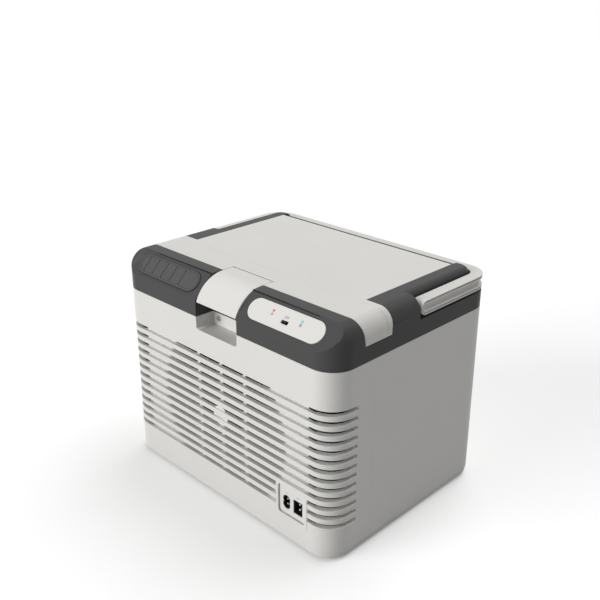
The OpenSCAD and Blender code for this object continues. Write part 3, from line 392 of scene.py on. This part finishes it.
def moulding(node, name, body, look, edge, keep=None, trim=None, angle=28, room=2.2):
    """A node of the frame as a moulding: clean faces and softly rounded edges.

    An edge is rounded if it is sharper than the angle and its faces have room for it."""
    shape = bmesh.new()
    shape.from_mesh(NODES[node].data)
    bmesh.ops.remove_doubles(shape, verts=shape.verts, dist=1e-5)
    if trim:
        trim(shape)
    bmesh.ops.dissolve_limit(shape, angle_limit=radians(0.5), verts=shape.verts, edges=shape.edges)
    edges = [e for e in shape.edges
             if e.is_manifold and e.calc_face_angle(0) > radians(angle)
             and e.calc_length() > room * edge
             and min(strip_width(f) for f in e.link_faces) > room * edge
             and (keep is None or keep(e))]
    if edge > 0 and edges:
        round_edges(shape, edges, edge)
    return finished(shape, name, body, look, (node,))


def dress(look, *nodes):
    """Gives nodes of the frame that keep their shape a finish."""
    for node in nodes:
        slots = NODES[node].data.materials
        slots.clear()
        slots.append(finish(look))


def rounded_plate(width, height, corner, segments):
    """One flat face with round corners, in the middle of its own plane."""
    shape = bmesh.new()
    bmesh.ops.create_grid(shape, x_segments=1, y_segments=1, size=0.5)
    bmesh.ops.scale(shape, vec=(width, height, 1), verts=shape.verts)
    bmesh.ops.bevel(shape, geom=shape.verts[:], offset=corner, offset_type="OFFSET",
                    segments=segments, profile=0.5, affect="VERTICES", clamp_overlap=False,
                    material=-1)
    return shape


def thicken(shape, by):
    """Draws the plate's face out by that much and returns the new top face."""
    made = bmesh.ops.extrude_face_region(shape, geom=shape.faces[:])["geom"]
    top = [f for f in made if isinstance(f, bmesh.types.BMFace)]
    bmesh.ops.translate(shape, vec=(0, 0, by), verts=list({v for f in top for v in f.verts}))
    bmesh.ops.recalc_face_normals(shape, faces=shape.faces)
    return top


def bar(shape, size, place, turn=0.0):
    """Adds a small bar to the shape, in its own plane."""
    made = bmesh.ops.create_cube(shape, size=1)["verts"]
    bmesh.ops.scale(shape, vec=size, verts=made)
    bmesh.ops.rotate(shape, cent=(0, 0, 0), matrix=Matrix.Rotation(turn, 3, "Z"), verts=made)
    bmesh.ops.translate(shape, vec=place, verts=made)
    return made


def stroke(shape, start, turn, away, long, wide):
    """Adds a printed stroke that points away from its start."""
    bar(shape, (long, wide, INK),
        (start[0] + cos(turn) * away, start[1] + sin(turn) * away, INK / 2), turn)


def laid(shape, place, x=0.0, y=0.0, z=0.0):
    """Sets the shape on a face of the object."""
    bmesh.ops.transform(shape, matrix=place @ Matrix.Translation((x, y, z)), verts=shape.verts)
    return shape


def words(text, name, place, x, y, height, z):
    """A short printed mark, made a thin mesh before it is laid on its face."""
    curve = bpy.data.curves.new(name, "FONT")
    curve.body = text
    curve.size = height * 1.35
    curve.align_x = "CENTER"
    curve.align_y = "CENTER"
    curve.extrude = INK / 2
    curve.resolution_u = 4
    made = bpy.data.objects.new(name + "_outline", curve)
    bpy.context.scene.collection.objects.link(made)
    solid = made.evaluated_get(bpy.context.evaluated_depsgraph_get())
    mesh = bpy.data.meshes.new_from_object(solid)
    bpy.data.objects.remove(made)
    shape = bmesh.new()
    shape.from_mesh(mesh)
    bmesh.ops.remove_doubles(shape, verts=shape.verts, dist=1e-6)
    laid(shape, place, x, y, z)
    return finished(shape, name, "cabinet", "ink", even=False)


class CoolerPart:
    """What all the operators here share."""

    bl_options = {"REGISTER", "UNDO"}


class COOLER_OT_case(CoolerPart, bpy.types.Operator):
    """Front cover with its grooves, case shell, base and feet"""

    bl_idname = "cooler.case"
    bl_label = "Case mouldings"

    # how far behind the front the cover's edges are rounded
    REACH = 0.065

    def execute(self, context):
        edge = sizes().white_edge
        moulding("front_grille_cover", "front_cover", "cabinet", "white", edge,
                 lambda e: abs((e.verts[0].co.y + e.verts[1].co.y) / 2 - FRONT_Y) < self.REACH,
                 trim=self.relieve)
        moulding("body_shell", "case_shell", "cabinet", "white", edge)
        moulding("base_pan", "base_rim", "cabinet", "white", edge)
        dress("foot", "rubber_feet")
        return {"FINISHED"}

    def relieve(self, shape):
        """Slopes the floors of the air slots down towards the inside, so that they read as open."""
        start = FRONT_Y + sizes().slot_land
        bmesh.ops.bisect_plane(shape, geom=shape.verts[:] + shape.edges[:] + shape.faces[:],
                               dist=1e-6, plane_co=(0, start, 0), plane_no=(0, 1, 0))
        inside = {v for f in shape.faces if f.normal.z > 0.9 for v in f.verts
                  if abs(v.co.y - FRONT_Y - GRILLE_WALL) < 1e-4 and v.co.z < GRILLE_TOP}
        bmesh.ops.translate(shape, vec=(0, 0, -sizes().slot_slope), verts=list(inside))


class COOLER_OT_frame(CoolerPart, bpy.types.Operator):
    """Dark top frame with the sloping face"""

    bl_idname = "cooler.frame"
    bl_label = "Top frame"

    def execute(self, context):
        moulding("top_frame", "frame_moulding", "cabinet", "frame",
                 sizes().frame_edge)
        dress("frame", "latch_keeper")
        return {"FINISHED"}


class COOLER_OT_lid(CoolerPart, bpy.types.Operator):
    """Lid top, front trim with the side straps, inner tray and seal"""

    bl_idname = "cooler.lid"
    bl_label = "Lid"

    # length of the lid's back end, whose edges stay crisp
    CRISP = 0.004

    def execute(self, context):
        edge = sizes().white_edge
        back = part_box("lid_top_panel")[1].y - self.CRISP
        moulding("lid_top_panel", "lid_top", "lid", "white", edge / 3,
                 lambda e: min(v.co.y for v in e.verts) < back)
        moulding("lid_front_trim", "lid_trim", "lid", "white", edge / 3)
        moulding("lid_tray", "lid_inside", "lid", "liner", edge)
        dress("seal", "lid_gasket")
        dress("foam", "lid_foam")
        return {"FINISHED"}


class COOLER_OT_latch(CoolerPart, bpy.types.Operator):
    """Curved latch flap"""

    bl_idname = "cooler.latch"
    bl_label = "Latch"

    def execute(self, context):
        moulding("latch_flap", "latch_moulding", "latch", "white",
                 sizes().white_edge)
        return {"FINISHED"}


class COOLER_OT_handle(CoolerPart, bpy.types.Operator):
    """Bail handle that folds down round the back"""

    bl_idname = "cooler.handle"
    bl_label = "Handle"

    def execute(self, context):
        moulding("carry_handle", "handle_moulding", "handle", "white",
                 sizes().white_edge / 2)
        dress("black", "handle_bushes")
        return {"FINISHED"}


class COOLER_OT_grip(CoolerPart, bpy.types.Operator):
    """Grip pad with dimples on the left of the sloping face"""

    bl_idname = "cooler.grip"
    bl_label = "Grip pad"

    # depth of the seat in the slope, and the pad's middle up the slope
    SEAT = 0.0016
    UP = 0.0197
    # half of the short flat that is left at each round end
    END_FLAT = 0.0002
    # how far under the top the upright wall ends
    SHOULDER = 0.0006
    # steps inwards and upwards over the round shoulder, the flat and the groove to the field
    RIM = ((0.0002, 0.0004), (0.0004, 0.0002), (0.0014, 0), (0.0002, -0.0005), (0.0003, 0),
           (0.0002, 0.0004))
    FIELD_DROP = 0.0001
    # the dimples' columns start left of the middle, this many steps away
    FIRST_COLUMN = -2.5
    COLUMN_STEP = 0.0182
    ROW_STEP = 0.0037

    def execute(self, context):
        s = sizes()
        low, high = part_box("grip_pad")
        height = s.grip_proud + self.SEAT
        pad = rounded_plate(s.grip_length, s.grip_height, s.grip_height / 2 - self.END_FLAT, 10)
        top = thicken(pad, height - self.SHOULDER)
        for inwards, upwards in self.RIM:
            bmesh.ops.inset_region(pad, faces=top, thickness=inwards, depth=upwards,
                                   use_boundary=True, use_even_offset=True)
        bmesh.ops.delete(pad, geom=top, context="FACES_ONLY")
        for i in range(s.dimple_columns):
            for j in range(s.dimple_rows):
                self.dimple(pad, (i + self.FIRST_COLUMN) * self.COLUMN_STEP,
                            (j - (s.dimple_rows - 1) / 2) * self.ROW_STEP,
                            height - self.FIELD_DROP, s.dimple_radius)
        bmesh.ops.triangle_fill(pad, edges=[e for e in pad.edges if e.is_boundary],
                                use_beauty=True, normal=(0, 0, 1))
        bmesh.ops.recalc_face_normals(pad, faces=pad.faces)
        laid(pad, FACET, (low.x + high.x) / 2, self.UP, -self.SEAT)
        finished(pad, "grip_pad_ribbed", "cabinet", "grip", ("grip_pad",))
        return {"FINISHED"}

    def dimple(self, shape, x, y, z, radius):
        """Sinks a small blind hole that narrows towards its floor."""
        mouth = bmesh.ops.create_circle(shape, cap_ends=True, segments=12, radius=radius,
                                        matrix=Matrix.Translation((x, y, z)))["verts"]
        bmesh.ops.inset_region(shape, faces=mouth[0].link_faces[:], thickness=radius / 5,
                               depth=-radius, use_boundary=True, use_even_offset=True)


class COOLER_OT_controls(CoolerPart, bpy.types.Operator):
    """Control plate with its two lenses, slide switch and printed marks"""

    bl_idname = "cooler.controls"
    bl_label = "Control plate"

    # the switch is a little right of the plate's middle, and the lamps stand beside it
    SWITCH_SHIFT = 0.001
    LAMP_SIDE = 0.0226
    # places up the slope
    SWITCH_UP = 0.0167
    MARK_UP = 0.0204
    WORD_UP = 0.0227
    LAMP_UP = 0.025
    # rings of a lens: share of the radius, height over the slope
    LENS = ((1, -0.0074), (1, 0.0003), (0.92, 0.0007), (0.7, 0.0011), (0.38, 0.00135),
            (0, 0.00142))
    # the knob, its middle under the slope, and its finger ribs
    KNOB = (0.0044, 0.0034, 0.006)
    KNOB_SUNK = 0.0022
    KNOB_RIB = (0.0006, 0.003, 0.0008)
    KNOB_STEP = 0.0013
    KNOB_EDGE = 0.00012
    # sizes of the two signs and of the word as shares of the marks' height, and the word's shift
    SIGN = 1.4
    WORD = 1.15
    WORD_SHIFT = -0.0003

    def execute(self, context):
        s = sizes()
        low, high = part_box("control_panel")
        middle = (low.x + high.x) / 2 + self.SWITCH_SHIFT
        moulding("control_panel", "control_plate", "cabinet", "white",
                 s.plate_edge)
        self.lens("hot_indicator", "hot_lens", "hot", "red_lens", middle - self.LAMP_SIDE)
        self.lens("cold_indicator", "cold_lens", "cold", "cyan_lens", middle + self.LAMP_SIDE)
        knob = bmesh.new()
        bar(knob, self.KNOB, (0, 0, -self.KNOB_SUNK))
        for i in range(-1, 2):
            bar(knob, self.KNOB_RIB, (i * self.KNOB_STEP, 0, self.KNOB_RIB[2]))
        round_edges(knob, knob.edges[:], self.KNOB_EDGE, 1)
        laid(knob, FACET, middle, self.SWITCH_UP)
        finished(knob, "switch_knob", "mode_switch", "black", ("mode_slider",))
        self.sun(middle - self.LAMP_SIDE, s.mark_height * self.SIGN)
        self.flake(middle + self.LAMP_SIDE, s.mark_height * self.SIGN)
        words("OFF", "off_mark", FACET, middle + self.WORD_SHIFT, self.WORD_UP,
              s.mark_height * self.WORD, PLATE_FACE + INK)
        dress("board", "control_board")
        dress("black", "switch_housing")
        return {"FINISHED"}

    def lens(self, node, name, look, slot, x):
        """A small domed lens, turned from its half outline."""
        shape = bmesh.new()
        radius = sizes().lens_radius
        points = [shape.verts.new((share * radius, 0, z)) for share, z in self.LENS]
        edges = [shape.edges.new(pair) for pair in zip(points, points[1:])]
        bmesh.ops.spin(shape, geom=points + edges, cent=(0, 0, 0), axis=(0, 0, 1), angle=2 * pi,
                       steps=24, use_merge=True, use_duplicate=False)
        bmesh.ops.remove_doubles(shape, verts=shape.verts, dist=1e-6)
        bmesh.ops.holes_fill(shape, edges=[e for e in shape.edges if e.is_boundary], sides=0)
        bmesh.ops.recalc_face_normals(shape, faces=shape.faces)
        laid(shape, FACET, x, self.LAMP_UP)
        finished(shape, name, "cabinet", look, (node,))

    def sun(self, x, height):
        """A disc with eight rays, for the warm setting."""
        shape = bmesh.new()
        bmesh.ops.create_circle(shape, cap_ends=True, segments=20, radius=height * 0.24)
        thicken(shape, INK)
        for i in range(8):
            stroke(shape, (0, 0), i * pi / 4, height * 0.45, height * 0.2, height * 0.11)
        laid(shape, FACET, x, self.MARK_UP, PLATE_FACE)
        finished(shape, "warm_mark", "cabinet", "ink", even=False)

    def flake(self, x, height):
        """A six-armed flake, for the cold setting."""
        shape = bmesh.new()
        for i in range(6):
            arm = i * pi / 3
            stroke(shape, (0, 0), arm, height * 0.28, height * 0.56, height * 0.1)
            fork = (cos(arm) * height * 0.36, sin(arm) * height * 0.36)
            for side in (-1, 1):
                stroke(shape, fork, arm + side * pi / 3, height * 0.1, height * 0.2, height * 0.09)
        laid(shape, FACET, x, self.MARK_UP, PLATE_FACE)
        finished(shape, "cool_mark", "cabinet", "ink", even=False)


class COOLER_OT_sockets(CoolerPart, bpy.types.Operator):
    """Socket plate, the two inlets, their pins, the marks and the rib beside them"""

    bl_idname = "cooler.sockets"
    bl_label = "Sockets"

    # how far behind the front the plate's edges are rounded, and the rounding of an inlet
    REACH = 0.0035
    INLET_EDGE = 0.0003
    # the rib's middle on the front, half of the flat at its ends, how deep it is set in, its
    # thickness and rounding
    RIB_AT = (0.1534, 0.0556)
    RIB_FLAT = 0.00002
    RIB_SUNK = 0.0006
    RIB_THICK = 0.0012
    RIB_EDGE = 0.0004
    # height of the marks over the sockets and over the plate, and the wave's size
    MARK_OVER = 0.0022
    MARK_LIFT = 0.00003
    WAVE = 1.6
    # the direct current mark: a long line over three short ones
    LINE = (0.0046, 0.0004, INK)
    DASH = (0.0012, 0.0004, INK)
    DASH_STEP = 0.0017
    LINE_UP = 0.0006

    def execute(self, context):
        s = sizes()
        moulding("socket_panel", "socket_plate", "cabinet", "white",
                 s.white_edge / 2, lambda e: max(v.co.y for v in e.verts) < FRONT_Y + self.REACH)
        moulding("dc_inlet", "dc_inlet_body", "cabinet", "black",
                 self.INLET_EDGE)
        dress("black", "ac_inlet")
        dress("steel", "ac_pins")
        # the direct current pins get pale tin with a painted glint in their colour
        dress("tin", "dc_pins")
        rib = rounded_plate(s.rib_width, s.rib_height, s.rib_width / 2 - self.RIB_FLAT, 6)
        top = thicken(rib, self.RIB_THICK)
        round_edges(rib, [e for f in top for e in f.edges], self.RIB_EDGE, 2)
        laid(rib, FRONT, *self.RIB_AT, -self.RIB_SUNK)
        finished(rib, "socket_rib", "cabinet", "white")
        lift = FRONT_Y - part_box("socket_panel")[0].y + self.MARK_LIFT
        words("~", "mains_mark", FRONT, *self.over("ac_inlet"), s.mark_height * self.WAVE, lift)
        line = bmesh.new()
        bar(line, self.LINE, (0, self.LINE_UP, 0))
        for i in (-1, 0, 1):
            bar(line, self.DASH, (i * self.DASH_STEP, -self.LINE_UP, 0))
        laid(line, FRONT, *self.over("dc_inlet"), lift)
        finished(line, "battery_mark", "cabinet", "ink", even=False)
        return {"FINISHED"}

    def over(self, node):
        """The place of the mark above a socket."""
        low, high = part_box(node)
        return (low.x + high.x) / 2, high.z + self.MARK_OVER


class COOLER_OT_compartment(CoolerPart, bpy.types.Operator):
    """Food compartment, its foam, the cold plate and its cover"""

    bl_idname = "cooler.compartment"
    bl_label = "Compartment"

    # rounding of the edges of the liner and of the cover in it
    LINER_EDGE = 0.001
    COVER_EDGE = 0.0006

    def execute(self, context):
        moulding("inner_liner", "liner_moulding", "cabinet", "liner",
                 self.LINER_EDGE)
        moulding("cold_cover", "cold_air_cover", "cabinet", "liner",
                 self.COVER_EDGE)
        dress("foam", "foam_jacket")
        dress("alloy", "cold_sink", "cold_block")
        return {"FINISHED"}


class COOLER_OT_works(CoolerPart, bpy.types.Operator):
    """Fan, heat sink, module, divider, boards and wiring behind the grille"""

    bl_idname = "cooler.works"
    bl_label = "Works"

    def execute(self, context):
        dress("black", "fan_frame", "fan_rotor", "capacitors")
        dress("brass", "fan_bearing")
        dress("alloy", "heat_sink")
        dress("ceramic", "peltier_module")
        dress("divider", "divider_panel")
        dress("board", "power_board")
        dress("tape", "transformer")
        dress("wire", "wiring")
        return {"FINISHED"}


class COOLER_OT_fasteners(CoolerPart, bpy.types.Operator):
    """Screws, hinge pins and shafts"""

    bl_idname = "cooler.fasteners"
    bl_label = "Fasteners"

    def execute(self, context):
        dress("zinc", "recess_screws")
        dress("steel", "base_screws", "keeper_screws", "cover_screws", "fan_screws", "clamp_screws",
              "board_screws", "lid_screws", "hinge_pins", "handle_pins", "latch_pin",
              "fan_shaft")
        return {"FINISHED"}


class COOLER_OT_stage(CoolerPart, bpy.types.Operator):
    """Floor, white air, soft light and the camera"""

    bl_idname = "cooler.stage"
    bl_label = "Studio"

    # lamps: the side that they shine from, strength, spread in degrees
    LAMPS = {"front_light": ((-0.38, -0.9, 0.2), 2.6, 44),
             "top_light": ((0.05, 0.42, 0.9), 1.65, 50)}
    # grey light all round, the floor's colour to the lens and its own glow
    AIR = 0.18
    FLOOR_SEEN = 0.95
    FLOOR_GLOW = 0.24
    FLOOR_HALF = 6
    # the camera as it stood for the photograph: place, degrees down and round, focal length
    CAMERA_AT = (0.7182, -0.72525, 0.66457)
    CAMERA_DOWN = 22.5825
    CAMERA_ROUND = 44.8517
    FOCAL_LENGTH = 50.27

    def execute(self, context):
        scene = context.scene
        scene.view_settings.view_transform = "Standard"
        self.floor(scene)
        self.air(scene)
        for name, values in self.LAMPS.items():
            self.lamp(scene, name, *values)
        lens = bpy.data.cameras.new("studio_camera")
        lens.sensor_width = 36
        lens.lens = self.FOCAL_LENGTH
        lens.clip_start = 0.05
        camera = bpy.data.objects.new("studio_camera", lens)
        camera.location = self.CAMERA_AT
        camera.rotation_euler = (radians(90 - self.CAMERA_DOWN), 0, radians(self.CAMERA_ROUND))
        scene.collection.objects.link(camera)
        scene.camera = camera
        return {"FINISHED"}

    def lamp(self, scene, name, towards, energy, spread):
        """A broad soft lamp that shines from that side."""
        light = bpy.data.lights.new(name, "SUN")
        light.energy = energy
        light.angle = radians(spread)
        lamp = bpy.data.objects.new(name, light)
        lamp.rotation_euler = Vector(towards).to_track_quat("Z", "Y").to_euler()
        scene.collection.objects.link(lamp)

    def floor(self, scene):
        """A plain pale floor that keeps the object's shadow and reads white to the lens."""
        shape = bmesh.new()
        bmesh.ops.create_grid(shape, x_segments=1, y_segments=1, size=self.FLOOR_HALF)
        mesh = bpy.data.meshes.new("studio_floor")
        shape.to_mesh(mesh)
        shape.free()
        plane = bpy.data.objects.new("studio_floor", mesh)
        scene.collection.objects.link(plane)
        material = bpy.data.materials.new("studio_floor_finish")
        material.use_nodes = True
        tree = material.node_tree
        tree.nodes.clear()
        plain = tree.nodes.new("ShaderNodeBsdfDiffuse")
        plain.inputs["Color"].default_value = (*colours().floor, 1)
        seen = tree.nodes.new("ShaderNodeBsdfDiffuse")
        seen.inputs["Color"].default_value = (*[self.FLOOR_SEEN] * 3, 1)
        glow = tree.nodes.new("ShaderNodeEmission")
        glow.inputs["Strength"].default_value = self.FLOOR_GLOW
        both = tree.nodes.new("ShaderNodeAddShader")
        mix = tree.nodes.new("ShaderNodeMixShader")
        out = tree.nodes.new("ShaderNodeOutputMaterial")
        tree.links.new(seen.outputs[0], both.inputs[0])
        tree.links.new(glow.outputs[0], both.inputs[1])
        tree.links.new(direct_rays(tree), mix.inputs[0])
        tree.links.new(plain.outputs[0], mix.inputs[1])
        tree.links.new(both.outputs[0], mix.inputs[2])
        tree.links.new(mix.outputs[0], out.inputs["Surface"])
        mesh.materials.append(material)

    def air(self, scene):
        """White air for the lens and in reflections, and a plain grey light all round."""
        world = bpy.data.worlds.new("studio_air")
        scene.world = world
        world.use_nodes = True
        tree = world.node_tree
        tree.nodes.clear()
        light = tree.nodes.new("ShaderNodeBackground")
        light.inputs["Color"].default_value = (*[self.AIR] * 3, 1)
        white = tree.nodes.new("ShaderNodeBackground")
        mix = tree.nodes.new("ShaderNodeMixShader")
        out = tree.nodes.new("ShaderNodeOutputWorld")
        white.inputs["Color"].default_value = (1, 1, 1, 1)
        tree.links.new(direct_rays(tree), mix.inputs[0])
        tree.links.new(light.outputs[0], mix.inputs[1])
        tree.links.new(white.outputs[0], mix.inputs[2])
        tree.links.new(mix.outputs[0], out.inputs["Surface"])


def direct_rays(tree):
    """One for rays from the lens and for mirrored and see-through ones, nought for others."""
    path = tree.nodes.new("ShaderNodeLightPath")
    total = path.outputs["Is Camera Ray"]
    for kind in ("Is Glossy Ray", "Is Transmission Ray"):
        either = tree.nodes.new("ShaderNodeMath")
        either.operation = "MAXIMUM"
        tree.links.new(total, either.inputs[0])
        tree.links.new(path.outputs[kind], either.inputs[1])
        total = either.outputs[0]
    return total


OPERATORS = (COOLER_OT_case, COOLER_OT_frame, COOLER_OT_lid, COOLER_OT_latch, COOLER_OT_handle,
             COOLER_OT_grip, COOLER_OT_controls, COOLER_OT_sockets, COOLER_OT_compartment,
             COOLER_OT_works, COOLER_OT_fasteners, COOLER_OT_stage)


class COOLER_PT_panel(bpy.types.Panel):
    """The pieces of the cool box"""

    bl_idname = "COOLER_PT_panel"
    bl_label = "Cool and warm box"
    bl_space_type = "VIEW_3D"
    bl_region_type = "UI"
    bl_category = "Cooler"

    def draw(self, context):
        layout = self.layout
        for group in (context.scene.cooler_sizes, context.scene.cooler_colours):
            column = layout.column(align=True)
            for name in group.bl_rna.properties.keys():
                if name not in {"rna_type", "name"}:
                    column.prop(group, name)
        for operator in OPERATORS:
            layout.operator(operator.bl_idname)


CLASSES = (CoolerSizes, CoolerColours, *OPERATORS, COOLER_PT_panel)


def register():
    for cls in CLASSES:
        bpy.utils.register_class(cls)
    bpy.types.Scene.cooler_sizes = PointerProperty(type=CoolerSizes)
    bpy.types.Scene.cooler_colours = PointerProperty(type=CoolerColours)


def unregister():
    del bpy.types.Scene.cooler_colours
    del bpy.types.Scene.cooler_sizes
    for cls in reversed(CLASSES):
        bpy.utils.unregister_class(cls)


def main():
    register()
    bpy.ops.cooler.case()
    bpy.ops.cooler.frame()
    bpy.ops.cooler.lid()
    bpy.ops.cooler.latch()
    bpy.ops.cooler.handle()
    bpy.ops.cooler.grip()
    bpy.ops.cooler.controls()
    bpy.ops.cooler.sockets()
    bpy.ops.cooler.compartment()
    bpy.ops.cooler.works()
    bpy.ops.cooler.fasteners()
    bpy.ops.cooler.stage()


if __name__ == "__main__":
    main()
